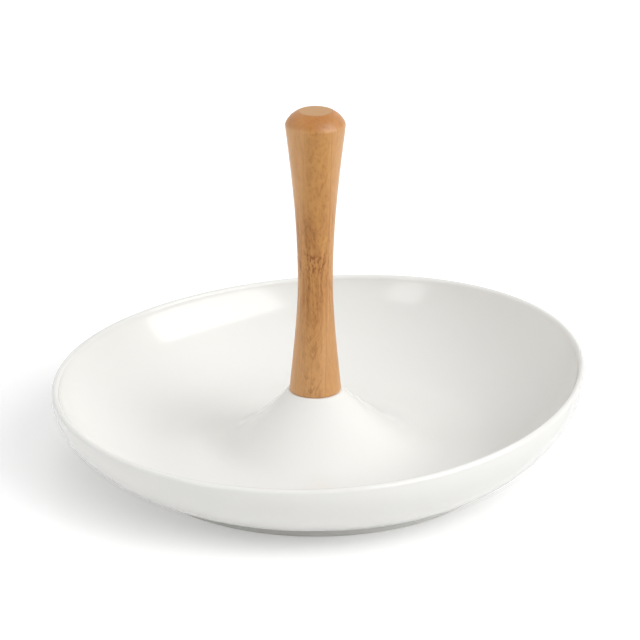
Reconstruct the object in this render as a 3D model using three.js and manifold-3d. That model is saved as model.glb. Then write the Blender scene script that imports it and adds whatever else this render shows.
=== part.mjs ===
// Tapas serving dish. A round porcelain dish stands on a foot ring, its rim sweeps up towards +X, and its
// floor rises into a hollow cone. A turned bamboo handle stands on the cone's seat. One screw goes up
// through the seat into a brass insert in the handle, so the handle can be unscrewed for washing.
// Millimetres, +Z up. The origin is on the dish's axis, at the level that the foot ring stands on.

import * as THREE from 'three';
import { mergeVertices } from 'three/addons/utils/BufferGeometryUtils.js';
import ManifoldModule from 'manifold-3d';

// Driving dimensions: dish
const rimRadius = 140;          // outside of the lip, averaged round the rim
const lowRim = 43;              // top of the lip on the low side, -X
const rimRise = 15.5;           // how much higher the lip stands on the high side, +X
const rimLean = 0.19;           // millimetres that the wall moves out for each millimetre it is raised
const lipThickness = 3.6;       // the lip is rounded over this thickness
const floorTop = 6.6;           // level floor between the cone and the wall
const floorThickness = 4.2;
const coneFootRadius = 70;      // where the cone's flank has run out into the floor
const coneTilt = 0.041;         // slope by which the flank is tilted up towards the high side
const tiltStart = 24;           // past this radius the flank has its full tilt, and at the seat none
const tiltEnd = 42;             // from this radius out to the cone's foot the tilt fades away
const wallFootRadius = 82;      // where the floor starts to turn up into the wall
const footRadius = 98;          // outside of the foot ring
const footHeight = 4.8;         // straight part that shows under the wall
const footWidth = 5;
const footRound = 0.8;          // rounding of the foot ring's two lower edges
const footBlend = 1.5;          // fillet between foot ring and wall
const seatHeight = 39.2;        // top of the cone, where the handle stands
const seatThickness = 6;
const seatMargin = 0.9;         // how far the seat reaches past the handle's base
const sweepRadius = 112;        // past this radius the wall is raised by its full share

// Driving dimensions: handle
const handleLength = 153.8;
const baseRadius = 13.6;
const baseRound = 0.8;
const waistRadius = 9.15;
const waistHeight = 62;         // above the handle's base
const bulbRadius = 15.55;
const shoulderHeight = 7.6;     // from the widest place up to the flat top
const topRadius = 8.3;          // flat disc on top

// Driving dimensions: fastening
const screwRadius = 3;
const screwLength = 25;         // under the head
const screwTaper = 0.8;         // chamfer at the tip
const headRadius = 6;
const headHeight = 3.6;
const headRound = 1.6;
const slotWidth = 1.6;
const slotDepth = 1.5;
const flatWasherRadius = 9;
const flatWasherThickness = 1.2;
const softWasherRadius = 9.5;
const softWasherThickness = 1.5;
const washerMargin = 3.3;       // free ring of flat porcelain round the soft washer
const insertWall = 1.5;
const insertLength = 15;
const boreSpare = 2.6;          // blind end of the handle's bore past the insert
const sealInnerRadius = 5.6;
const sealOuterRadius = 9.1;
const sealThickness = 1.2;

// Clearances, measured on the radius
const screwHoleClearance = 0.6;
const washerClearance = 0.25;
const threadClearance = 0.1;
const insertClearance = 0.1;
const sealClearance = 0.3;
const slotOverrun = 1;          // how far the slot's cutter reaches past the head

// How each curve leaves its start and meets its end, as shares of its span along the radius and the height
const coneUnderCurve = [[0.49, 0.84], [0.56, 1]];
const wallOutsideCurve = [[0.4, 0.126], [1, 0.53]];
const wallInsideCurve = [[0.1, 0.5], [0.5, 1]];
const coneCurve = [[0.4, 0], [0.5, 0.14]];
const gripLowerCurve = [[0.41, 0.33], [1, 0.67]];
const gripUpperCurve = [[0, 0.36], [0.47, 0.67]];
const shoulderCurve = [[0, 0.38], [0.57, 0.9]];

// Facets
const dishSegments = 64;
const handleSegments = 40;
const smallSegments = 32;
const facetLength = 8;          // longest facet along a curve
const leastFacets = 3;          // fewest facets on a curve

// Levels and radii that follow from the sizes above
const lipRadius = lipThickness / 2;
const lipCentre = lowRim - lipRadius;
const floorBottom = floorTop - floorThickness;
const seatUnderside = seatHeight - seatThickness;
const seatRadius = baseRadius + seatMargin;
const screwHoleRadius = screwRadius + screwHoleClearance;
const softWasherBottom = seatUnderside - softWasherThickness;
const headTop = softWasherBottom - flatWasherThickness;
const sealTop = seatHeight + sealThickness;
const sealRecessRadius = sealOuterRadius + sealClearance;
const insertRadius = screwRadius + threadClearance + insertWall;
const insertTop = sealTop + insertLength;
const boreRadius = insertRadius + insertClearance;
const screwTip = headTop + screwLength;
const boreTop = Math.max(insertTop, screwTip) + boreSpare;
const handleTop = seatHeight + handleLength;
const bulbLevel = handleTop - shoulderHeight;
const waistLevel = seatHeight + waistHeight;

// Continues a path, which has reached the first place, with a cubic curve to the second.
function curveTo(path, from, to, shape) {
  const handles = shape.flatMap(([alongRadius, alongHeight]) => [
    from.x + alongRadius * (to.x - from.x),
    from.y + alongHeight * (to.y - from.y),
  ]);
  path.bezierCurveTo(...handles, to.x, to.y);
}

// Corners of a path: the ends of its straight lines, and points along its curves.
function cornersOf(path) {
  const corners = [path.getPoint(0)];
  for (const piece of path.curves) {
    const facets = piece.isLineCurve ? 1 : Math.max(leastFacets, Math.ceil(piece.getLength() / facetLength));
    corners.push(...piece.getPoints(facets).slice(1));
  }
  return corners;
}

// Turns a closed (radius, height) path about Z. The path runs anticlockwise, so the faces point out.
function turned(path, segments) {
  const geometry = new THREE.LatheGeometry(cornersOf(path), segments);
  geometry.rotateX(Math.PI / 2);
  geometry.deleteAttribute('uv');
  geometry.deleteAttribute('normal');
  return mergeVertices(geometry);
}

// A washer or ring between two levels.
function ring(innerRadius, outerRadius, bottom, top, segments) {
  const path = new THREE.Path();
  path.moveTo(innerRadius, bottom);
  path.lineTo(outerRadius, bottom);
  path.lineTo(outerRadius, top);
  path.lineTo(innerRadius, top);
  path.lineTo(innerRadius, bottom);
  return turned(path, segments);
}

const wasm = await ManifoldModule();
wasm.setup();

// A closed solid from a geometry, for cutting.
function solidOf(geometry) {
  const bare = geometry.clone();
  bare.deleteAttribute('uv');
  bare.deleteAttribute('normal');
  const merged = mergeVertices(bare);
  return new wasm.Manifold(new wasm.Mesh({
    numProp: 3,
    vertProperties: new Float32Array(merged.attributes.position.array),
    triVerts: new Uint32Array(merged.index.array),
  }));
}

// Cuts one geometry out of another.
function cut(body, tool) {
  const mesh = solidOf(body).subtract(solidOf(tool)).getMesh();
  const geometry = new THREE.BufferGeometry();
  geometry.setAttribute('position', new THREE.BufferAttribute(mesh.vertProperties, 3));
  geometry.setIndex(new THREE.BufferAttribute(mesh.triVerts, 1));
  return geometry;
}

// Cross-section of the dish on its low side, from the screw hole's lower edge round to its upper edge.
function dishSection() {
  const under = new THREE.Vector2(softWasherRadius + washerMargin, seatUnderside);
  const underFoot = new THREE.Vector2(coneFootRadius, floorBottom);
  const footInner = footRadius - footWidth;
  const wallStart = new THREE.Vector2(footRadius + footBlend, footHeight);
  const lipOuter = new THREE.Vector2(rimRadius, lipCentre);
  const lipInner = new THREE.Vector2(rimRadius - lipThickness, lipCentre);
  const wallFoot = new THREE.Vector2(wallFootRadius, floorTop);
  const coneFoot = new THREE.Vector2(coneFootRadius, floorTop);
  const seatEdge = new THREE.Vector2(seatRadius, seatHeight);

  const path = new THREE.Path();
  path.moveTo(screwHoleRadius, seatUnderside);
  path.lineTo(under.x, under.y);
  curveTo(path, under, underFoot, coneUnderCurve);
  path.lineTo(footInner, floorBottom);
  path.lineTo(footInner, footRound);
  path.quadraticCurveTo(footInner, 0, footInner + footRound, 0);
  path.lineTo(footRadius - footRound, 0);
  path.quadraticCurveTo(footRadius, 0, footRadius, footRound);
  path.lineTo(footRadius, footHeight - footBlend);
  path.quadraticCurveTo(footRadius, footHeight, wallStart.x, wallStart.y);
  curveTo(path, wallStart, lipOuter, wallOutsideCurve);
  path.absarc(rimRadius - lipRadius, lipCentre, lipRadius, 0, Math.PI, false);
  curveTo(path, lipInner, wallFoot, wallInsideCurve);
  path.lineTo(coneFoot.x, coneFoot.y);
  curveTo(path, coneFoot, seatEdge, coneCurve);
  path.lineTo(screwHoleRadius, seatHeight);
  path.lineTo(screwHoleRadius, seatUnderside);
  return path;
}

// Raises the wall and tilts the cone's flank towards +X. The seat, the level floor and the foot ring stay as
// they are turned.
function sweepRim(geometry) {
  const place = geometry.attributes.position;
  const point = new THREE.Vector3();
  const meanShare = 0.375;      // mean of ((1 + cos) / 2) squared round a full turn
  for (let i = 0; i < place.count; i += 1) {
    point.fromBufferAttribute(place, i);
    const radius = Math.hypot(point.x, point.y);
    const wallShare = Math.max(0, (point.z - footHeight) / (lowRim - footHeight));
    const share = wallShare * THREE.MathUtils.smoothstep(radius, wallFootRadius, sweepRadius);
    const sweep = ((1 + point.x / radius) / 2) ** 2;
    const lean = 1 + rimLean * rimRise * share * (sweep - meanShare) / radius;
    const tiltShare = THREE.MathUtils.smoothstep(radius, seatRadius, tiltStart)
      * (1 - THREE.MathUtils.smoothstep(radius, tiltEnd, coneFootRadius));
    const rise = rimRise * share * sweep + coneTilt * tiltShare * point.x;
    place.setXYZ(i, point.x * lean, point.y * lean, point.z + rise);
  }
  return geometry;
}

// Turned grip with a recess for the seal ring and a blind bore for the insert.
function handleGeometry() {
  const base = new THREE.Vector2(baseRadius, seatHeight + baseRound);
  const waist = new THREE.Vector2(waistRadius, waistLevel);
  const bulb = new THREE.Vector2(bulbRadius, bulbLevel);
  const topEdge = new THREE.Vector2(topRadius, handleTop);
  const path = new THREE.Path();
  path.moveTo(0, boreTop);
  path.lineTo(boreRadius, boreTop);
  path.lineTo(boreRadius, sealTop);
  path.lineTo(sealRecessRadius, sealTop);
  path.lineTo(sealRecessRadius, seatHeight);
  path.lineTo(baseRadius - baseRound, seatHeight);
  path.quadraticCurveTo(baseRadius, seatHeight, base.x, base.y);
  curveTo(path, base, waist, gripLowerCurve);
  curveTo(path, waist, bulb, gripUpperCurve);
  curveTo(path, bulb, topEdge, shoulderCurve);
  path.lineTo(0, handleTop);
  return turned(path, handleSegments);
}

// Pan head below, plain shank for the thread, chamfered tip, and a slot across the head.
function screwGeometry() {
  const headBottom = headTop - headHeight;
  const path = new THREE.Path();
  path.moveTo(0, headBottom);
  path.lineTo(headRadius - headRound, headBottom);
  path.quadraticCurveTo(headRadius, headBottom, headRadius, headBottom + headRound);
  path.lineTo(headRadius, headTop);
  path.lineTo(screwRadius, headTop);
  path.lineTo(screwRadius, screwTip - screwTaper);
  path.lineTo(screwRadius - screwTaper, screwTip);
  path.lineTo(0, screwTip);
  const slotLength = 2 * (headRadius + slotOverrun);
  const slot = new THREE.BoxGeometry(slotWidth, slotLength, slotDepth + slotOverrun);
  slot.translate(0, 0, headBottom + (slotDepth - slotOverrun) / 2);
  return cut(turned(path, smallSegments), slot);
}

// Finishes
const porcelain = new THREE.MeshStandardMaterial({ color: 0xf1f1ec, roughness: 0.16, metalness: 0 });
const bamboo = new THREE.MeshStandardMaterial({ color: 0xc6935a, roughness: 0.5, metalness: 0 });
const brass = new THREE.MeshStandardMaterial({ color: 0xc9a457, roughness: 0.35, metalness: 1 });
const stainless = new THREE.MeshStandardMaterial({ color: 0xb8babd, roughness: 0.3, metalness: 1 });
const silicone = new THREE.MeshStandardMaterial({ color: 0xdededa, roughness: 0.6, metalness: 0 });

const servingDish = new THREE.Group();

function addPiece(name, geometry, material) {
  geometry.computeVertexNormals();
  const piece = new THREE.Mesh(geometry, material);
  piece.name = name;
  servingDish.add(piece);
}

const washerInner = screwRadius + washerClearance;
addPiece('dish', sweepRim(turned(dishSection(), dishSegments)), porcelain);
addPiece('handle', handleGeometry(), bamboo);
addPiece('thread_insert',
  ring(screwRadius + threadClearance, insertRadius, sealTop, insertTop, smallSegments), brass);
addPiece('screw', screwGeometry(), stainless);
addPiece('flat_washer',
  ring(washerInner, flatWasherRadius, headTop, softWasherBottom, smallSegments), stainless);
addPiece('silicone_washer',
  ring(washerInner, softWasherRadius, softWasherBottom, seatUnderside, smallSegments), silicone);
addPiece('seal_ring', ring(sealInnerRadius, sealOuterRadius, seatHeight, sealTop, smallSegments), silicone);

export default servingDish;
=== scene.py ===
"""Tapas serving dish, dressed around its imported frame.

A round porcelain dish stands on a foot ring, and its rim sweeps up towards +X. Its floor rises into a
hollow cone that carries a turned bamboo handle, held from below by one screw with its washers, and by a
brass insert and a soft seal in the handle's base. Metres, +Z up, with the origin under the dish's axis
where the foot ring stands.
"""

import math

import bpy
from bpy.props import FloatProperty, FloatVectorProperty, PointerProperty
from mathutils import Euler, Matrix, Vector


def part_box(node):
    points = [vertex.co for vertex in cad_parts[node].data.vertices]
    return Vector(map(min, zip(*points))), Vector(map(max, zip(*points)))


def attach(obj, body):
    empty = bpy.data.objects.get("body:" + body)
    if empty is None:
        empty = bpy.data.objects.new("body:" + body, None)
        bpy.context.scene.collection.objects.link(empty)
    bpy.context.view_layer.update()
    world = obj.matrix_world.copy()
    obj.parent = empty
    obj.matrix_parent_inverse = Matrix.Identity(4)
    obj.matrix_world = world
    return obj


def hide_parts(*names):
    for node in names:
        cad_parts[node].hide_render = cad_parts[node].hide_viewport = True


bl_info = {
    "name": "Tapas Serving Dish",
    "version": (1, 0, 0),
    "blender": (4, 5, 0),
    "location": "3D View > Sidebar > Serving Dish",
    "description": "Models a porcelain serving dish with a bamboo handle around its packed frame",
    "category": "Object",
}

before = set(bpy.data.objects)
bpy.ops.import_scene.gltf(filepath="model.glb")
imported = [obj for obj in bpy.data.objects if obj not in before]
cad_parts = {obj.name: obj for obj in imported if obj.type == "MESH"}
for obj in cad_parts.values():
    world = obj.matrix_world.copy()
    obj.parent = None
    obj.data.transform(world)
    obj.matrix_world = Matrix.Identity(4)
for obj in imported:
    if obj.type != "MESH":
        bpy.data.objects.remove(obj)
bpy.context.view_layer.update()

MM = 0.001
FULL_TURN = 2 * math.pi

# Sizes that the frame gives
seat_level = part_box("handle")[0].z
handle_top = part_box("handle")[1].z
bulb_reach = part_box("handle")[1].x
head_bottom, screw_tip = (corner.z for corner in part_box("screw"))
head_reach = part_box("screw")[1].x
head_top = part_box("flat_washer")[0].z
seal_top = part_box("seal_ring")[1].z
insert_low, insert_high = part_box("thread_insert")

# Faces round each turned piece, and in one turn of a thread
DISH_FACES = 160
HANDLE_FACES = 96
METAL_FACES = 64
RING_FACES = 72
THREAD_FACES = 36

# Faces that meet at less than this angle are shaded as one. The handle's angle keeps its crease
SOFT_ANGLE = math.radians(30)
HANDLE_ANGLE = math.radians(9.2)

# Points closer than the first are merged, and points closer to a cut than the second count as on it. The
# cutting operator's own tolerance is a tenth of a millimetre, too coarse for a thread
MERGE_DISTANCE = MM / 1000
CUT_TOLERANCE = MM / 10000

# Where the flank meets the seat's soft edge: out from the seat's radius and down from its level, as shares
# of its rounding
EDGE_OUT = 0.7
EDGE_DOWN = 0.75

SWEEP_SIZE = 12     # metres of white paper, each way

# How a curve leaves its start and meets its end, as shares of its span along the radius and along the height
CONE_UNDERSIDE = ((0.49, 0.84), (0.56, 1))
WALL_OUTSIDE = ((0.4, 0.126), (1, 0.53))
WALL_INSIDE = ((0.1, 0.5), (0.5, 1))
CONE_FLANK = ((0.4, 0), (0.5, 0.14))
GRIP_LOWER = ((0.41, 0.33), (1, 0.67))
GRIP_UPPER = ((0, 0.36), (0.47, 0.67))
SHOULDER_SIDE = ((0, 0.315), (0.472, 0.671))
SHOULDER_TOP = ((0.321, 0.447), (0.676, 0.871))
SEAT_EDGE = ((0.2, 0.47), (0.55, 1))
OVER = ((0, 0.55), (0.45, 1))      # a quarter round that leaves along the height
ROUND = ((0.55, 0), (1, 0.45))     # a quarter round that leaves along the radius


def linear(code):
    """The linear colour of an sRGB hex code."""
    shares = [int(code[i:i + 2], 16) / 255 for i in (1, 3, 5)]
    return [s / 12.92 if s <= 0.04045 else ((s + 0.055) / 1.055) ** 2.4 for s in shares]


def length(name, description, millimetres):
    """A size that a user may set, given in millimetres."""
    return FloatProperty(name=name, description=description, default=millimetres * MM, min=0, precision=4,
                         unit="LENGTH")


def tint(name, description, code):
    """A colour that a user may set, given as an sRGB hex code."""
    return FloatVectorProperty(name=name, description=description, default=linear(code), min=0, max=1,
                               subtype="COLOR")


class DishSizes(bpy.types.PropertyGroup):
    """Sizes of the porcelain dish."""
    rim_radius: length("Rim radius", "Outside of the lip, averaged round the rim", 140)
    low_rim: length("Low rim", "Top of the lip on the low side", 43)
    rim_rise: length("Rim rise", "How much higher the lip stands on the high side", 15.5)
    rim_lean: FloatProperty(name="Rim lean", description="How far the wall moves out for its rise",
                            default=0.19)
    lip_thickness: length("Lip thickness", "The lip is rounded over this thickness", 3.6)
    floor_top: length("Floor top", "Level floor between the cone and the wall", 6.6)
    floor_thickness: length("Floor thickness", "Porcelain under the level floor", 4.2)
    cone_foot_radius: length("Cone foot radius", "Where the cone has run out into the floor", 70)
    cone_tilt: FloatProperty(name="Cone tilt", description="Slope of the flank up towards the high side",
                             default=0.041)
    tilt_start: length("Tilt start", "The tilt grows from the seat's edge out to this radius", 24)
    tilt_end: length("Tilt end", "From this radius out to the cone's foot the tilt fades away", 42)
    wall_foot_radius: length("Wall foot radius", "Where the floor starts to turn up into the wall", 82)
    sweep_radius: length("Sweep radius", "Past this radius the wall is raised by its full share", 112)
    foot_radius: length("Foot radius", "Outside of the foot ring", 98)
    foot_height: length("Foot height", "Straight part that shows under the wall", 4.8)
    foot_width: length("Foot width", "Width of the foot ring", 5)
    foot_round: length("Foot round", "Rounding of the foot ring's lower edges", 0.8)
    foot_blend: length("Foot blend", "Fillet between the foot ring and the wall", 1.5)
    recess_blend: length("Recess blend", "Fillet inside the foot ring", 1.0)
    seat_radius: length("Seat radius", "Top of the cone, where the handle stands", 14.5)
    seat_thickness: length("Seat thickness", "Porcelain that the screw clamps", 6)
    seat_round: length("Seat round", "Soft edge of the glazed seat", 0.7)
    land_radius: length("Land radius", "Flat under the seat for the soft washer", 12.8)
    hole_radius: length("Hole radius", "Hole for the screw", 3.6)
    hole_round: length("Hole round", "Glaze rounding on the hole's edges", 0.4)


class HandleSizes(bpy.types.PropertyGroup):
    """Sizes of the turned bamboo handle."""
    base_radius: length("Base radius", "Foot of the handle", 13.6)
    base_round: length("Base round", "Broken edge of the foot", 0.8)
    waist_radius: length("Waist radius", "Thinnest place", 9.15)
    waist_height: length("Waist height", "Thinnest place above the foot", 62)
    shoulder_height: length("Shoulder height", "From the widest place up to the flat top", 7.6)
    crease_radius: length("Crease radius", "Faint crease where the shoulder's two cuts meet", 12.92)
    crease_drop: length("Crease drop", "The crease below the flat top", 2.83)
    top_radius: length("Top radius", "Flat disc on top", 8.3)
    bore_radius: length("Bore radius", "Blind bore for the insert", 4.7)
    bore_spare: length("Bore spare", "Blind end of the bore past the screw", 2.6)
    drill_point: length("Drill point", "Cone that the drill leaves at the bore's end", 1.2)
    recess_radius: length("Recess radius", "Recess for the seal ring", 9.4)


class FasteningSizes(bpy.types.PropertyGroup):
    """Sizes of the screw, the insert, the washers and the seal."""
    screw_radius: length("Screw radius", "Outside of the thread", 3)
    thread_pitch: length("Thread pitch", "Rise of the thread in one turn", 1)
    thread_depth: length("Thread depth", "From crest to root", 0.61)
    tip_chamfer: length("Tip chamfer", "Chamfer at the screw's tip", 0.8)
    head_round: length("Head round", "Rounding of the pan head", 1.6)
    slot_width: length("Slot width", "Slot across the head", 1.6)
    slot_depth: length("Slot depth", "Depth of the slot", 1.5)
    washer_hole: length("Washer hole", "Hole radius of both washers", 3.25)
    washer_edge: length("Washer edge", "Rolled edge of the punched steel washer", 0.3)
    soft_edge: length("Soft edge", "Rounded edge of the moulded silicone", 0.4)
    insert_bore: length("Insert bore", "Inside of the insert's thread", 3.1)
    insert_groove: length("Insert groove", "Depth of the insert's thread", 0.4)
    knurl_depth: length("Knurl depth", "Depth of the insert's straight knurl", 0.2)
    seal_hole: length("Seal hole", "Inner radius of the seal ring", 5.6)


class Finishes(bpy.types.PropertyGroup):
    """Colours of the finishes, and the strips of the bamboo."""
    glaze: tint("Glaze", "Porcelain under clear glaze", "#F4F3F0")
    glaze_cloud: tint("Glaze cloud", "Where the glaze is a little thicker", "#F2F2EE")
    biscuit: tint("Biscuit", "Bare porcelain on the foot ring", "#E2DDD2")
    bamboo_pale: tint("Bamboo pale", "Pale strips of the handle", "#DAA46A")
    bamboo_deep: tint("Bamboo deep", "Deep strips of the handle", "#CE9551")
    bamboo_fibre: tint("Bamboo fibre", "Cut fibre bundles", "#985929")
    bamboo_oiled: tint("Bamboo oiled", "Shoulder, where the cut fibres drink more oil", "#B97438")
    bamboo_end: tint("Bamboo end", "End grain on the flat top", "#CFA67A")
    strip_width: length("Strip width", "Width of one glued strip", 14)
    strip_shift: length("Strip shift", "From the axis to the middle strip's left edge, at the floor", 9.8)
    strip_lean: FloatProperty(name="Strip lean", description="Slope of the strips from the handle's axis",
                              default=0.023)
    glue_width: length("Glue width", "Glue line between two strips", 0.3)
    strip_turn: FloatProperty(name="Strip turn", description="Turn of the strips about the handle's axis",
                              default=math.radians(16.58), subtype="ANGLE")
    knot_level: length("Knot level", "Knot in the middle strip, above the floor", 112.6)
    steel: tint("Steel", "Stainless screw and washer", "#C4C6C8")
    brass: tint("Brass", "Machined insert", "#D0A95A")
    silicone: tint("Silicone", "Milky washer and seal", "#E3E3DE")


class StageSettings(bpy.types.PropertyGroup):
    """Camera and light of the photograph."""
    azimuth: FloatProperty(name="Azimuth", description="Where the camera stands round the dish",
                           default=math.radians(-16.58), subtype="ANGLE")
    distance: length("Distance", "Camera from the dish's axis, along the floor", 1435.8)
    height: length("Height", "Camera above the floor", 655.2)
    pitch: FloatProperty(name="Pitch", description="How far the camera looks down", default=0.3821,
                         subtype="ANGLE")
    yaw: FloatProperty(name="Yaw", description="How far the camera looks past the axis", default=0.0017,
                       subtype="ANGLE")
    roll: FloatProperty(name="Roll", description="Turn of the camera about its own view", default=0.001,
                        subtype="ANGLE")
    sensor: FloatProperty(name="Sensor", description="Width of the camera's sensor", default=36,
                          unit="CAMERA")
    lens: FloatProperty(name="Lens", description="Focal length", default=166.2, unit="CAMERA")
    paper: tint("Paper", "White sweep under the dish", "#F3F3F3")
    paper_glow: FloatProperty(name="Paper glow", description="Lifts the sweep to white for the camera alone",
                              default=0.25)
    walls: FloatProperty(name="Walls", description="Light level of the white room's walls", default=0.35)
    key: FloatProperty(name="Key", description="Light level of the soft key at the right", default=8.2)
    fill: FloatProperty(name="Fill", description="Light level of the low soft fill at the left", default=3.4)
    overhead: FloatProperty(name="Overhead", description="Light level of the two soft lights overhead",
                            default=1.75)
    gather: FloatProperty(name="Gather", description="How tightly each soft light gathers round its middle",
                          default=20)
    window: FloatProperty(name="Window", description="Power of the pane mirrored from the front right",
                          default=24, unit="POWER")
    card: FloatProperty(name="Card", description="Power of the card mirrored from the front left",
                        default=2.4, unit="POWER")


def deselect():
    """Leaves object mode with nothing selected."""
    if bpy.context.object and bpy.context.object.mode != "OBJECT":
        bpy.ops.object.mode_set(mode="OBJECT")
    bpy.ops.object.select_all(action="DESELECT")


def draw_section(start, steps, smoothness=16):
    """Draws half of a turned section in the XZ plane, and returns it as a mesh outline.

    A step (radius, height) is a straight line, and (radius, height, shape) is a curve of that shape.
    """
    deselect()
    bpy.ops.curve.primitive_bezier_curve_add(location=(0, 0, 0))
    outline = bpy.context.object
    outline.data.resolution_u = smoothness
    points = outline.data.splines[0].bezier_points
    points.add(len(steps) - 1)
    for point, (radius, height) in zip(points, [start] + [step[:2] for step in steps]):
        point.handle_left_type = point.handle_right_type = "FREE"
        point.co = point.handle_left = point.handle_right = (radius, 0, height)
    for before, after, step in zip(points[:-1], points[1:], steps):
        if len(step) == 2:
            before.handle_right_type = after.handle_left_type = "VECTOR"
            continue
        leaving, meeting = step[2]
        span = after.co - before.co
        before.handle_right = before.co + Vector((span.x * leaving[0], 0, span.z * leaving[1]))
        after.handle_left = before.co + Vector((span.x * meeting[0], 0, span.z * meeting[1]))
    bpy.ops.object.convert(target="MESH")
    return bpy.context.object


def weld():
    """Merges what meets and turns the faces outwards, in edit mode."""
    bpy.ops.mesh.select_all(action="SELECT")
    bpy.ops.mesh.remove_doubles(threshold=MERGE_DISTANCE)
    bpy.ops.mesh.normals_make_consistent(inside=False)


def turn(outline, faces):
    """Turns an outline about Z into a closed solid, as on a wheel or a lathe."""
    bpy.ops.object.mode_set(mode="EDIT")
    bpy.ops.mesh.select_all(action="SELECT")
    bpy.ops.mesh.spin(steps=faces, angle=FULL_TURN, center=(0, 0, 0), axis=(0, 0, 1))
    weld()
    bpy.ops.object.mode_set(mode="OBJECT")
    return outline


def threaded_rod(root, crest, pitch, low, high, phase):
    """A rod with a real thread: one pitch of outline carried up a helix, then cut level at both ends."""
    start = phase + pitch * (math.floor((low - phase) / pitch) - 1)
    flank = 3 * pitch / 8
    flat = pitch / 8
    outline = draw_section((root, start), [
        (root, start + flat),
        (crest, start + flat + flank),
        (crest, start + 2 * flat + flank),
        (root, start + 2 * flat + 2 * flank),
        (root, start + pitch),
    ])
    bpy.ops.object.modifier_add(type="SCREW")
    helix = outline.modifiers[-1]
    helix.screw_offset = pitch
    helix.iterations = math.ceil((high - start) / pitch) + 1
    helix.steps = helix.render_steps = THREAD_FACES
    bpy.ops.object.modifier_apply(modifier=helix.name)
    bpy.ops.object.mode_set(mode="EDIT")
    weld()
    for end, below in ((low, True), (high, False)):
        bpy.ops.mesh.select_all(action="SELECT")
        bpy.ops.mesh.bisect(plane_co=(0, 0, end), plane_no=(0, 0, 1), use_fill=True, clear_inner=below,
                            clear_outer=not below, threshold=CUT_TOLERANCE)
    weld()
    bpy.ops.object.mode_set(mode="OBJECT")
    return outline


def combine(piece, tool, operation):
    """Joins a tool to a piece or cuts the piece with it, deletes the tool and cleans the joint."""
    deselect()
    piece.select_set(True)
    bpy.context.view_layer.objects.active = piece
    bpy.ops.object.modifier_add(type="BOOLEAN")
    boolean = piece.modifiers[-1]
    boolean.operation = operation
    boolean.solver = "EXACT"
    boolean.object = tool
    bpy.ops.object.modifier_apply(modifier=boolean.name)
    bpy.data.objects.remove(tool)
    bpy.ops.object.mode_set(mode="EDIT")
    weld()
    bpy.ops.mesh.dissolve_degenerate(threshold=MERGE_DISTANCE)
    bpy.ops.object.mode_set(mode="OBJECT")
    return piece


def place(piece, name, body, node, material, angle=SOFT_ANGLE):
    """Names and finishes a piece, and lets it ride on its body in place of its node."""
    deselect()
    piece.select_set(True)
    bpy.context.view_layer.objects.active = piece
    bpy.ops.object.shade_smooth_by_angle(angle=angle)
    piece.name = piece.data.name = name
    piece.data.materials.clear()
    piece.data.materials.append(material)
    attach(piece, body)
    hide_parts(node)


def per_metre(*millimetres):
    """How often a pattern repeats in a metre, from the size of one repeat."""
    return tuple(1 / (size * MM) for size in millimetres)


def new_material(name):
    """A node material with nothing in it, and its tree."""
    material = bpy.data.materials.new(name)
    material.use_nodes = True
    material.node_tree.nodes.clear()
    return material, material.node_tree


def add(tree, kind, inputs=(), **settings):
    """Adds a node with its settings. Inputs go by name or in order: values, sockets or whole nodes."""
    node = tree.nodes.new("ShaderNode" + kind)
    for name, value in settings.items():
        setattr(node, name, value)
    for key, value in inputs.items() if isinstance(inputs, dict) else enumerate(inputs):
        if isinstance(value, bpy.types.Node):
            value = value.outputs[0]
        if isinstance(value, bpy.types.NodeSocket):
            tree.links.new(value, node.inputs[key])
        else:
            node.inputs[key].default_value = value
    return node


def rgba(colour):
    """A colour with full opacity."""
    return (*colour, 1)


def glazed_porcelain(s):
    """Hard porcelain, glazed and fired: a white body under a wet gloss that ripples faintly.

    The foot ring was wiped bare before firing, so its lowest face is matt and a little sandy.
    """
    material, tree = new_material("glazed_porcelain")
    where = add(tree, "TexCoord").outputs["Object"]
    level = add(tree, "SeparateXYZ", (where,)).outputs["Z"]
    bare = add(tree, "MapRange", (level, 0.15 * MM, 0.6 * MM, 1.0, 0.0), interpolation_type="SMOOTHSTEP")
    cloud = add(tree, "TexNoise", {"Vector": where, "Scale": per_metre(60)[0], "Detail": 1.0})
    body = add(tree, "Mix", {0: cloud, 6: rgba(s.glaze), 7: rgba(s.glaze_cloud)}, data_type="RGBA")
    colour = add(tree, "Mix", {0: bare, 6: body.outputs[2], 7: rgba(s.biscuit)}, data_type="RGBA")
    ripple = add(tree, "TexNoise", {"Vector": where, "Scale": per_metre(24)[0], "Detail": 1.0})
    wave = add(tree, "Bump", {"Height": ripple, "Strength": 0.3, "Distance": 0.06 * MM})
    grit = add(tree, "TexNoise", {"Vector": where, "Scale": per_metre(0.4)[0], "Detail": 2.0})
    sand = add(tree, "Math", (grit, bare), operation="MULTIPLY")
    relief = add(tree, "Bump", {"Height": sand, "Strength": 0.6, "Distance": 0.08 * MM, "Normal": wave})
    glaze_roughness = 0.12
    biscuit_roughness = 0.8
    gloss = add(tree, "MapRange", (bare, 0.0, 1.0, glaze_roughness, biscuit_roughness))
    shader = add(tree, "BsdfPrincipled", {"Base Color": colour.outputs[2], "Roughness": gloss, "IOR": 1.52,
                                          "Normal": relief})
    add(tree, "OutputMaterial", (shader,))
    return material


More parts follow.
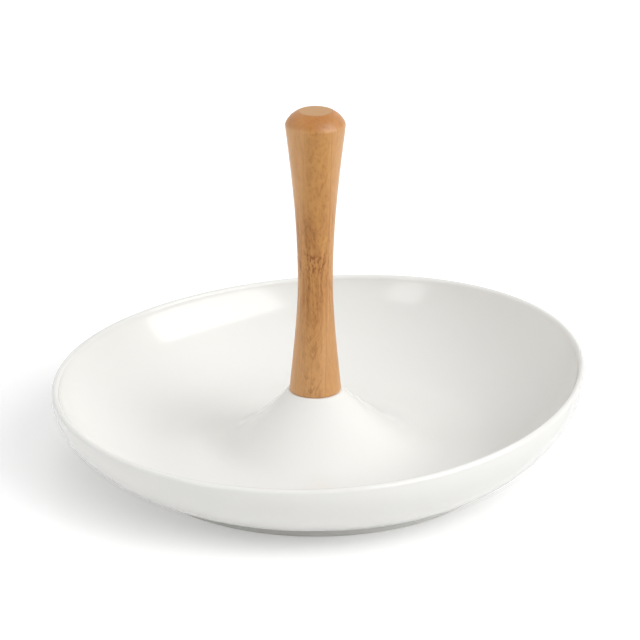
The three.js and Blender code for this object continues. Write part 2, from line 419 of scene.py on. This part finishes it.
def laminated_bamboo(s):
    """Bamboo strips glued side by side, turned, sanded and oiled.

    That gives straight fibres along the handle, short dashes where the lathe cut the fibre bundles of the
    middle strip, Vs of them towards the foot, a knot whose dashes fan out upwards, painted shade on the
    waist round it, painted light that pales the wood towards the foot, plainer sides and a soft sheen.
    Fibres are a quarter of a millimetre wide, too fine for the photograph's distance, so they are drawn
    three times as coarse.
    """
    material, tree = new_material("laminated_bamboo")
    where = add(tree, "TexCoord").outputs["Object"]
    facing = add(tree, "Mapping", {"Vector": where, "Rotation": (0, 0, s.strip_turn)})
    across, depth, level = add(tree, "SeparateXYZ", (facing,)).outputs

    # Across the strips, in strip widths: which strip it is, how far it is from the middle of the front one,
    # where the wood is pale or figured, and the glue lines
    leaning = add(tree, "Math", (level, -s.strip_lean, across), operation="MULTIPLY_ADD")
    stack = add(tree, "Math", (leaning, 1 / s.strip_width, s.strip_shift / s.strip_width),
                operation="MULTIPLY_ADD")
    strip = add(tree, "Math", (stack,), operation="FLOOR")
    centred = add(tree, "Math", (stack, 0.5), operation="SUBTRACT")
    fold = add(tree, "Math", (centred, 1.0), operation="PINGPONG")
    pale = add(tree, "MapRange", (fold, 0.2, 0.75, 0.0, 1.0), interpolation_type="SMOOTHSTEP")
    figure = add(tree, "MapRange", (fold, 0.22, 0.5, 1.0, 0.0), interpolation_type="SMOOTHSTEP")
    from_seam = add(tree, "Math", (fold, 0.5), operation="SUBTRACT")
    near_seam = add(tree, "Math", (from_seam,), operation="ABSOLUTE")
    glue = add(tree, "MapRange", (near_seam, 0.0, s.glue_width / s.strip_width, 1.0, 0.0))

    # The knot crosses the figured strip, and painted shade darkens the waist round it
    from_knot = add(tree, "Math", (level, s.knot_level), operation="SUBTRACT")
    near_knot = add(tree, "Math", (from_knot,), operation="ABSOLUTE")
    knot_band = add(tree, "MapRange", (near_knot, 4 * MM, 8.5 * MM, 1.0, 0.0),
                    interpolation_type="SMOOTHSTEP")
    knot = add(tree, "Math", (knot_band, figure), operation="MULTIPLY")
    waist = add(tree, "MapRange", (near_knot, 6 * MM, 44 * MM, 1.0, 0.0), interpolation_type="SMOOTHSTEP")

    # Each strip has its own fibres. They wander a little on their way up, and fan out above the knot
    fan = add(tree, "MapRange", (from_knot, -8 * MM, 8 * MM, 1.35, 0.65))
    fanned = add(tree, "Math", (across, fan), operation="MULTIPLY")
    spread = add(tree, "CombineXYZ", (fanned, depth, level))
    strip_step = (3.1 * MM, 7.7 * MM, 41 * MM)
    own = add(tree, "VectorMath", (strip, strip_step, spread), operation="MULTIPLY_ADD")
    bends = add(tree, "Mapping", {"Vector": own, "Scale": per_metre(4, 4, 6)})
    wander = add(tree, "TexNoise", {"Vector": bends, "Scale": 1.0, "Detail": 1.0}).outputs["Color"]
    stray = (1.3 * MM, 1.3 * MM, 0)
    drift = add(tree, "VectorMath", (wander, stray, own), operation="MULTIPLY_ADD")

    # Towards the foot the cut was aslant to the fibres, which leaves Vs up the figured strip. Their arms run
    # out by half of their rise
    vee_slope = 0.5
    off_centre = add(tree, "Math", (fold, s.strip_width), operation="MULTIPLY")
    aslant = add(tree, "Math", (level, -vee_slope, off_centre), operation="MULTIPLY_ADD")
    slanted = add(tree, "CombineXYZ", (aslant, depth, level))
    vees = add(tree, "VectorMath", (wander, stray, slanted), operation="MULTIPLY_ADD")
    foot_end = add(tree, "MapRange", (level, 75 * MM, 100 * MM, 1.0, 0.0), interpolation_type="SMOOTHSTEP")
    foot = add(tree, "Math", (foot_end, figure), operation="MULTIPLY")

    # Dark patterns: the way a pattern runs, its seed, the size of its grains in millimetres across, in depth
    # and along, its detail, the range that shows, and how much of it shows in the figured strip and beside
    # it, and is added at the knot, at the waist as painted shade, and at the foot. Glue shows most on one
    # side of the figured strip
    glue_share = add(tree, "MapRange", (centred, -0.1, 0.1, 0.1, 0.28))
    marks_and_shade = add(tree, "Math", (glue, glue_share), operation="MULTIPLY")
    for run, seed, grain, detail, low, high, in_figure, beside, at_knot, at_waist, at_foot in (
        (drift, 0.0, (0.75, 0.75, 30), 3.0, 0.44, 0.72, 0.10, 0.10, 0.00, 0.10, 0.00),
        (drift, 3.4, (2.2, 2.2, 40), 1.0, 0.46, 0.64, 0.10, 0.08, 0.00, 0.28, 0.00),
        (drift, 4.6, (0.95, 0.95, 2.9), 1.5, 0.46, 0.66, 0.22, 0.06, 0.40, 0.08, -0.10),
        (drift, 6.2, (2.2, 0.9, 5), 2.0, 0.46, 0.64, 0.12, 0.04, 0.26, 0.02, -0.04),
        (drift, 0.0, (14, 14, 40), 1.0, 0.40, 0.65, 0.10, 0.08, 0.14, 0.10, 0.00),
        (vees, 1.7, (1.5, 1.5, 7), 1.0, 0.50, 0.64, 0.00, 0.00, 0.00, 0.00, 0.24),
    ):
        start = (seed, seed, seed)
        space = add(tree, "Mapping", {"Vector": run, "Location": start, "Scale": per_metre(*grain)})
        pattern = add(tree, "TexNoise", {"Vector": space, "Scale": 1.0, "Detail": detail})
        shown = add(tree, "MapRange", (pattern, low, high, 0.0, 1.0), interpolation_type="SMOOTHSTEP")
        share = add(tree, "Mix", {0: figure, 2: beside, 3: in_figure})
        share = add(tree, "Math", (knot, at_knot, share), operation="MULTIPLY_ADD")
        # Painted shade: the waist round the knot shows more of each pattern, which darkens it
        share = add(tree, "Math", (waist, at_waist, share), operation="MULTIPLY_ADD")
        share = add(tree, "Math", (foot, at_foot, share), operation="MULTIPLY_ADD")
        marks_and_shade = add(tree, "Math", (shown, share, marks_and_shade), operation="MULTIPLY_ADD", use_clamp=True)

    # Painted light: the wood is paler towards the base of the handle, where light bounced from the dish
    # falls
    base = add(tree, "MapRange", (level, 45 * MM, 95 * MM, 1.0, 0.0))
    pale_and_bounce_light = add(tree, "Math", (pale, base), operation="ADD", use_clamp=True)
    strips = add(tree, "Mix", {0: pale_and_bounce_light, 6: rgba(s.bamboo_deep), 7: rgba(s.bamboo_pale)}, data_type="RGBA")
    grain_with_painted_light = add(tree, "Mix", {0: marks_and_shade, 6: strips.outputs[2], 7: rgba(s.bamboo_fibre)}, data_type="RGBA")

    # Cut ends: the shoulder drinks more oil, and the flat top is sanded pale
    normal = add(tree, "NewGeometry").outputs["Normal"]
    upright = add(tree, "SeparateXYZ", (normal,)).outputs["Z"]
    slope = add(tree, "Math", (upright,), operation="ABSOLUTE")
    oiled = add(tree, "MapRange", (slope, 0.2, 0.6, 0.0, 0.5), interpolation_type="SMOOTHSTEP")
    soaked = add(tree, "Mix", {0: oiled, 6: grain_with_painted_light.outputs[2], 7: rgba(s.bamboo_oiled)}, data_type="RGBA")
    flat = add(tree, "MapRange", (slope, 0.972, 0.99, 0.0, 0.85), interpolation_type="SMOOTHSTEP")
    colour = add(tree, "Mix", {0: flat, 6: soaked.outputs[2], 7: rgba(s.bamboo_end)}, data_type="RGBA")

    # Oiled wood has a soft sheen, which the dark patterns with the waist's painted shade and the sanded end
    # grain break
    sheen = add(tree, "MapRange", (marks_and_shade, 0.0, 0.5, 0.3, 0.5))
    dulled = add(tree, "Math", (flat, 0.3, sheen), operation="MULTIPLY_ADD")
    relief = add(tree, "Bump", {"Height": marks_and_shade, "Strength": 0.35, "Distance": 0.05 * MM}, invert=True)
    shader = add(tree, "BsdfPrincipled", {"Base Color": colour.outputs[2], "Roughness": dulled, "IOR": 1.45,
                                          "Specular IOR Level": 0.5, "Normal": relief})
    add(tree, "OutputMaterial", (shader,))
    return material


def turned_metal(name, colour, roughness):
    """Turned brass or steel, or punched steel: bright, with fine rings about the axis that catch light."""
    material, tree = new_material(name)
    where = add(tree, "TexCoord").outputs["Object"]
    flat = add(tree, "VectorMath", (where, (1, 1, 0)), operation="MULTIPLY")
    radius = add(tree, "VectorMath", (flat,), operation="LENGTH").outputs["Value"]
    level = add(tree, "SeparateXYZ", (where,)).outputs["Z"]
    along = add(tree, "Math", (radius, level), operation="ADD")
    rings = add(tree, "TexNoise", {"W": along, "Scale": per_metre(0.25)[0], "Detail": 2.0},
                noise_dimensions="1D")
    dulled = add(tree, "MapRange", (rings, 0.3, 0.7, roughness - 0.08, roughness + 0.1))
    relief = add(tree, "Bump", {"Height": rings, "Strength": 0.25, "Distance": 0.02 * MM})
    darker = rgba([0.82 * c for c in colour])
    shade = add(tree, "Mix", {0: rings, 6: rgba(colour), 7: darker}, data_type="RGBA")
    shader = add(tree, "BsdfPrincipled", {"Base Color": shade.outputs[2], "Metallic": 1.0,
                                          "Roughness": dulled, "Normal": relief})
    add(tree, "OutputMaterial", (shader,))
    return material


def moulded_silicone(s):
    """Moulded silicone rubber: milky and matt, with a fine tooth from the mould."""
    material, tree = new_material("moulded_silicone")
    where = add(tree, "TexCoord").outputs["Object"]
    tooth = add(tree, "TexNoise", {"Vector": where, "Scale": per_metre(0.35)[0], "Detail": 2.0})
    cloud = add(tree, "TexNoise", {"Vector": where, "Scale": per_metre(4)[0], "Detail": 1.0})
    darker = rgba([0.9 * c for c in s.silicone])
    colour = add(tree, "Mix", {0: cloud, 6: rgba(s.silicone), 7: darker}, data_type="RGBA")
    relief = add(tree, "Bump", {"Height": tooth, "Strength": 0.3, "Distance": 0.03 * MM})
    matt = add(tree, "MapRange", (tooth, 0.3, 0.7, 0.5, 0.66))
    shader = add(tree, "BsdfPrincipled", {"Base Color": colour.outputs[2], "Roughness": matt, "IOR": 1.41,
                                          "Normal": relief})
    add(tree, "OutputMaterial", (shader,))
    return material


def seen_directly(tree):
    """One for rays that end in the picture, straight from the camera or by way of a gloss or glass."""
    path = add(tree, "LightPath").outputs
    mirrored = add(tree, "Math", (path["Is Glossy Ray"], path["Is Transmission Ray"]), operation="MAXIMUM")
    return add(tree, "Math", (path["Is Camera Ray"], mirrored), operation="MAXIMUM")


def aim(azimuth, round_from, up):
    """Direction so many degrees round from the camera's azimuth, and up from the floor."""
    side = azimuth + math.radians(round_from)
    return Vector((math.sin(side), -math.cos(side), math.tan(math.radians(up)))).normalized()


def white_paper(s):
    """Plain matt paper, which the camera sees as white where no shadow falls."""
    material, tree = new_material("white_paper")
    paper = add(tree, "BsdfDiffuse", {"Color": rgba(s.paper)})
    strength = add(tree, "Math", (seen_directly(tree), s.paper_glow), operation="MULTIPLY")
    glow = add(tree, "Emission", {"Strength": strength})
    both = add(tree, "AddShader", (paper, glow))
    add(tree, "OutputMaterial", (both,))
    return material


def eased(value, low, high):
    """How far a value has come from low to high, from 0 to 1, with a soft start and end."""
    share = min(max((value - low) / (high - low), 0), 1)
    return share * share * (3 - 2 * share)


def sweep_rim(piece, sizes):
    """Raises the wall and tilts the cone's flank towards +X. The seat, level floor and foot ring stay."""
    mean_share = 0.375      # mean of ((1 + cos) / 2) squared round a full turn
    for vertex in piece.data.vertices:
        x, y, z = vertex.co
        radius = math.hypot(x, y)
        wall = max(0, (z - sizes.foot_height) / (sizes.low_rim - sizes.foot_height))
        share = wall * eased(radius, sizes.wall_foot_radius, sizes.sweep_radius)
        sweep = ((1 + x / radius) / 2) ** 2
        lean = 1 + sizes.rim_lean * sizes.rim_rise * share * (sweep - mean_share) / radius
        tilted = eased(radius, sizes.seat_radius, sizes.tilt_start)
        tilted *= 1 - eased(radius, sizes.tilt_end, sizes.cone_foot_radius)
        rise = sizes.rim_rise * share * sweep + sizes.cone_tilt * tilted * x
        vertex.co = (x * lean, y * lean, z + rise)


class SERVINGDISH_OT_porcelain_dish(bpy.types.Operator):
    """Throw the porcelain dish and sweep its rim up on one side"""
    bl_idname = "serving_dish.porcelain_dish"
    bl_label = "Porcelain Dish"

    def execute(self, context):
        s = context.scene.dish_sizes
        lip = s.lip_thickness / 2
        lip_centre = s.low_rim - lip
        seat_under = seat_level - s.seat_thickness
        floor_bottom = s.floor_top - s.floor_thickness
        foot_inner = s.foot_radius - s.foot_width
        start = (s.hole_radius, seat_under + s.hole_round)
        outline = draw_section(start, [
            (s.hole_radius + s.hole_round, seat_under, OVER),
            (s.land_radius, seat_under),
            (s.cone_foot_radius, floor_bottom, CONE_UNDERSIDE),
            (foot_inner - s.recess_blend, floor_bottom),
            (foot_inner, floor_bottom - s.recess_blend, ROUND),
            (foot_inner, s.foot_round),
            (foot_inner + s.foot_round, 0, OVER),
            (s.foot_radius - s.foot_round, 0),
            (s.foot_radius, s.foot_round, ROUND),
            (s.foot_radius, s.foot_height - s.foot_blend),
            (s.foot_radius + s.foot_blend, s.foot_height, OVER),
            (s.rim_radius, lip_centre, WALL_OUTSIDE),
            (s.rim_radius - lip, s.low_rim, OVER),
            (s.rim_radius - 2 * lip, lip_centre, ROUND),
            (s.wall_foot_radius, s.floor_top, WALL_INSIDE),
            (s.cone_foot_radius, s.floor_top),
            (s.seat_radius + s.seat_round * EDGE_OUT, seat_level - s.seat_round * EDGE_DOWN, CONE_FLANK),
            (s.seat_radius - s.seat_round, seat_level, SEAT_EDGE),
            (s.hole_radius + s.hole_round, seat_level),
            (s.hole_radius, seat_level - s.hole_round, ROUND),
            start,
        ], smoothness=20)
        dish = turn(outline, DISH_FACES)
        sweep_rim(dish, s)
        porcelain = glazed_porcelain(context.scene.finishes)
        place(dish, "porcelain_dish", "dish", "dish", porcelain)
        return {"FINISHED"}


class SERVINGDISH_OT_bamboo_handle(bpy.types.Operator):
    """Turn the bamboo handle, with its bore and its seal's recess"""
    bl_idname = "serving_dish.bamboo_handle"
    bl_label = "Bamboo Handle"

    def execute(self, context):
        s = context.scene.handle_sizes
        bore_top = max(insert_high.z, screw_tip) + s.bore_spare
        bulb_level = handle_top - s.shoulder_height
        outline = draw_section((0, bore_top + s.drill_point), [
            (s.bore_radius, bore_top),
            (s.bore_radius, seal_top),
            (s.recess_radius, seal_top),
            (s.recess_radius, seat_level),
            (s.base_radius - s.base_round, seat_level),
            (s.base_radius, seat_level + s.base_round, ROUND),
            (s.waist_radius, seat_level + s.waist_height, GRIP_LOWER),
            (bulb_reach, bulb_level, GRIP_UPPER),
            (s.crease_radius, handle_top - s.crease_drop, SHOULDER_SIDE),
            (s.top_radius, handle_top, SHOULDER_TOP),
            (0, handle_top),
        ], smoothness=24)
        handle = turn(outline, HANDLE_FACES)
        bamboo = laminated_bamboo(context.scene.finishes)
        place(handle, "bamboo_handle", "handle", "handle", bamboo, HANDLE_ANGLE)
        return {"FINISHED"}


class SERVINGDISH_OT_brass_insert(bpy.types.Operator):
    """Turn, knurl and tap the brass insert"""
    bl_idname = "serving_dish.brass_insert"
    bl_label = "Brass Insert"

    def execute(self, context):
        s = context.scene.fastening_sizes
        reach = insert_high.x
        middle = (insert_low.z + insert_high.z) / 2
        groove = 2 * s.knurl_depth
        outline = draw_section((0, insert_low.z), [
            (reach - groove, insert_low.z),
            (reach, insert_low.z + groove),
            (reach, middle - 2 * groove),
            (reach - groove, middle - groove),
            (reach - groove, middle + groove),
            (reach, middle + 2 * groove),
            (reach, insert_high.z - groove),
            (reach - groove, insert_high.z),
            (0, insert_high.z),
        ])
        insert = turn(outline, METAL_FACES)
        # Every second column of the outside is pressed in, which leaves the knurl
        for vertex in insert.data.vertices:
            radius = math.hypot(vertex.co.x, vertex.co.y)
            column = round(math.atan2(vertex.co.y, vertex.co.x) / FULL_TURN * METAL_FACES)
            if column % 2 and radius > reach - groove / 2:
                vertex.co.xy *= 1 - s.knurl_depth / radius
        tap = threaded_rod(s.insert_bore, s.insert_bore + s.insert_groove, s.thread_pitch,
                           insert_low.z - s.thread_pitch, insert_high.z + s.thread_pitch, head_top)
        combine(insert, tap, "DIFFERENCE")
        brass = turned_metal("turned_brass", context.scene.finishes.brass, roughness=0.3)
        place(insert, "brass_insert", "handle", "thread_insert", brass)
        return {"FINISHED"}


class SERVINGDISH_OT_slotted_screw(bpy.types.Operator):
    """Turn the screw's pan head, roll its thread and saw its slot"""
    bl_idname = "serving_dish.slotted_screw"
    bl_label = "Slotted Screw"

    def execute(self, context):
        s = context.scene.fastening_sizes
        outline = draw_section((0, head_bottom), [
            (head_reach - s.head_round, head_bottom),
            (head_reach, head_bottom + s.head_round, ROUND),
            (head_reach, head_top),
            (0, head_top),
        ])
        screw = turn(outline, METAL_FACES)
        rod = threaded_rod(s.screw_radius - s.thread_depth, s.screw_radius, s.thread_pitch,
                           head_top - s.slot_depth / 2, screw_tip, head_top)
        envelope = turn(draw_section((0, head_bottom), [
            (head_reach, head_bottom),
            (head_reach, head_top),
            (s.screw_radius + s.tip_chamfer, screw_tip - 2 * s.tip_chamfer),
            (s.screw_radius - s.tip_chamfer, screw_tip),
            (0, screw_tip),
        ]), METAL_FACES)
        combine(rod, envelope, "INTERSECT")
        combine(screw, rod, "UNION")
        # The saw is centred on the head's face and longer than the head is wide
        deselect()
        bpy.ops.mesh.primitive_cube_add(size=1, location=(0, 0, head_bottom))
        saw = bpy.context.object
        saw.scale = (s.slot_width, 4 * head_reach, 2 * s.slot_depth)
        bpy.ops.object.transform_apply(location=True, rotation=False, scale=True)
        combine(screw, saw, "DIFFERENCE")
        steel = turned_metal("turned_stainless", context.scene.finishes.steel, roughness=0.24)
        place(screw, "slotted_screw", "dish", "screw", steel)
        return {"FINISHED"}


class SERVINGDISH_OT_washers_and_seal(bpy.types.Operator):
    """Punch the steel washer and mould the soft washer and the seal ring"""
    bl_idname = "serving_dish.washers_and_seal"
    bl_label = "Washers and Seal"

    def execute(self, context):
        s = context.scene.fastening_sizes
        finish = context.scene.finishes
        steel = turned_metal("punched_stainless", finish.steel, roughness=0.3)
        soft = moulded_silicone(finish)
        rings = (
            ("steel_washer", "dish", "flat_washer", "stainless", steel, s.washer_hole, s.washer_edge),
            ("soft_washer", "dish", "silicone_washer", "silicone", soft, s.washer_hole, s.soft_edge),
            ("base_seal", "seal", "seal_ring", "silicone", soft, s.seal_hole, s.soft_edge),
        )
        for name, body, node, slot, material, hole, edge in rings:
            low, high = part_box(node)
            start = (hole + edge, low.z)
            outline = draw_section(start, [
                (high.x - edge, low.z),
                (high.x, low.z + edge, ROUND),
                (high.x, high.z - edge),
                (high.x - edge, high.z, OVER),
                (hole + edge, high.z),
                (hole, high.z - edge, ROUND),
                (hole, low.z + edge),
                (*start, OVER),
            ], smoothness=6)
            place(turn(outline, RING_FACES), name, body, node, material)
        return {"FINISHED"}


class SERVINGDISH_OT_stage(bpy.types.Operator):
    """Set the white sweep, the soft lights and the photograph's camera"""
    bl_idname = "serving_dish.stage"
    bl_label = "Stage"

    def execute(self, context):
        s = context.scene.stage_settings
        context.scene.view_settings.view_transform = "Standard"
        deselect()
        bpy.ops.mesh.primitive_plane_add(size=SWEEP_SIZE)
        floor = context.object
        floor.name = "white_sweep"
        floor.data.materials.append(white_paper(s))

        world = bpy.data.worlds.new("white_room")
        context.scene.world = world
        world.use_nodes = True
        tree = world.node_tree
        tree.nodes.clear()
        direction = add(tree, "TexCoord").outputs["Generated"]
        light = s.walls
        # Degrees round from the camera and up, and light level of each soft light
        lights = ((60, 38, s.key), (-90, 14, s.fill), (0, 64, s.overhead), (180, 64, s.overhead))
        for round_from, up, strength in lights:
            towards = aim(s.azimuth, round_from, up)
            near = add(tree, "VectorMath", (direction, towards), operation="DOT_PRODUCT").outputs["Value"]
            facing = add(tree, "Math", (near, 0.0), operation="MAXIMUM")
            spread = add(tree, "Math", (facing, s.gather), operation="POWER")
            light = add(tree, "Math", (spread, strength, light), operation="MULTIPLY_ADD")
        level = add(tree, "Mix", {0: seen_directly(tree), 2: light, 3: 1.0})
        room = add(tree, "Background", {"Strength": level})
        add(tree, "OutputWorld", (room,))

        # Name, degrees round from the camera and up, metres away, width and height, power
        panes = (
            ("window_pane", 54, 26.5, 1.5, (1.74, 1.5), s.window),
            ("white_card", -46, 17, 1.5, (0.41, 0.9), s.card),
        )
        for name, round_from, up, away, extent, power in panes:
            out = aim(s.azimuth, round_from, up)
            bpy.ops.object.light_add(type="AREA", location=out * away)
            lamp = context.object
            lamp.name = name
            lamp.rotation_euler = (-out).to_track_quat("-Z", "Y").to_euler()
            lamp.data.shape = "RECTANGLE"
            lamp.data.size, lamp.data.size_y = extent
            lamp.data.energy = power
            lamp.visible_diffuse = False

        spot = Vector((math.sin(s.azimuth) * s.distance, -math.cos(s.azimuth) * s.distance, s.height))
        level_view = Euler((math.pi / 2 - s.pitch, 0, s.azimuth - s.yaw)).to_matrix()
        rolled_view = level_view @ Euler((0, 0, s.roll)).to_matrix()
        bpy.ops.object.camera_add(location=spot, rotation=rolled_view.to_euler())
        camera = context.object
        camera.name = "photograph_camera"
        camera.data.sensor_width = s.sensor
        camera.data.lens = s.lens
        context.scene.camera = camera
        return {"FINISHED"}


class SERVINGDISH_PT_panel(bpy.types.Panel):
    """Lists the pieces and their sizes"""
    bl_label = "Serving Dish"
    bl_idname = "SERVINGDISH_PT_panel"
    bl_space_type = "VIEW_3D"
    bl_region_type = "UI"
    bl_category = "Serving Dish"

    def draw(self, context):
        layout = self.layout
        for operator in OPERATORS:
            layout.operator(operator.bl_idname)
        for owner in SETTINGS:
            box = layout.box()
            group = getattr(context.scene, owner)
            for name in group.__annotations__:
                box.prop(group, name)


OPERATORS = (
    SERVINGDISH_OT_stage,
    SERVINGDISH_OT_porcelain_dish,
    SERVINGDISH_OT_bamboo_handle,
    SERVINGDISH_OT_brass_insert,
    SERVINGDISH_OT_slotted_screw,
    SERVINGDISH_OT_washers_and_seal,
)
SETTINGS = {
    "dish_sizes": DishSizes,
    "handle_sizes": HandleSizes,
    "fastening_sizes": FasteningSizes,
    "finishes": Finishes,
    "stage_settings": StageSettings,
}


def register():
    """Registers the settings, the operators and the panel."""
    for owner, group in SETTINGS.items():
        bpy.utils.register_class(group)
        setattr(bpy.types.Scene, owner, PointerProperty(type=group))
    for operator in OPERATORS:
        bpy.utils.register_class(operator)
    bpy.utils.register_class(SERVINGDISH_PT_panel)


def unregister():
    """Takes the panel, the operators and the settings out again."""
    bpy.utils.unregister_class(SERVINGDISH_PT_panel)
    for operator in reversed(OPERATORS):
        bpy.utils.unregister_class(operator)
    for owner, group in reversed(SETTINGS.items()):
        delattr(bpy.types.Scene, owner)
        bpy.utils.unregister_class(group)


def main():
    """Models every piece in order."""
    register()
    for operator in OPERATORS:
        group, name = operator.bl_idname.split(".")
        getattr(getattr(bpy.ops, group), name)()


if __name__ == "__main__":
    main()
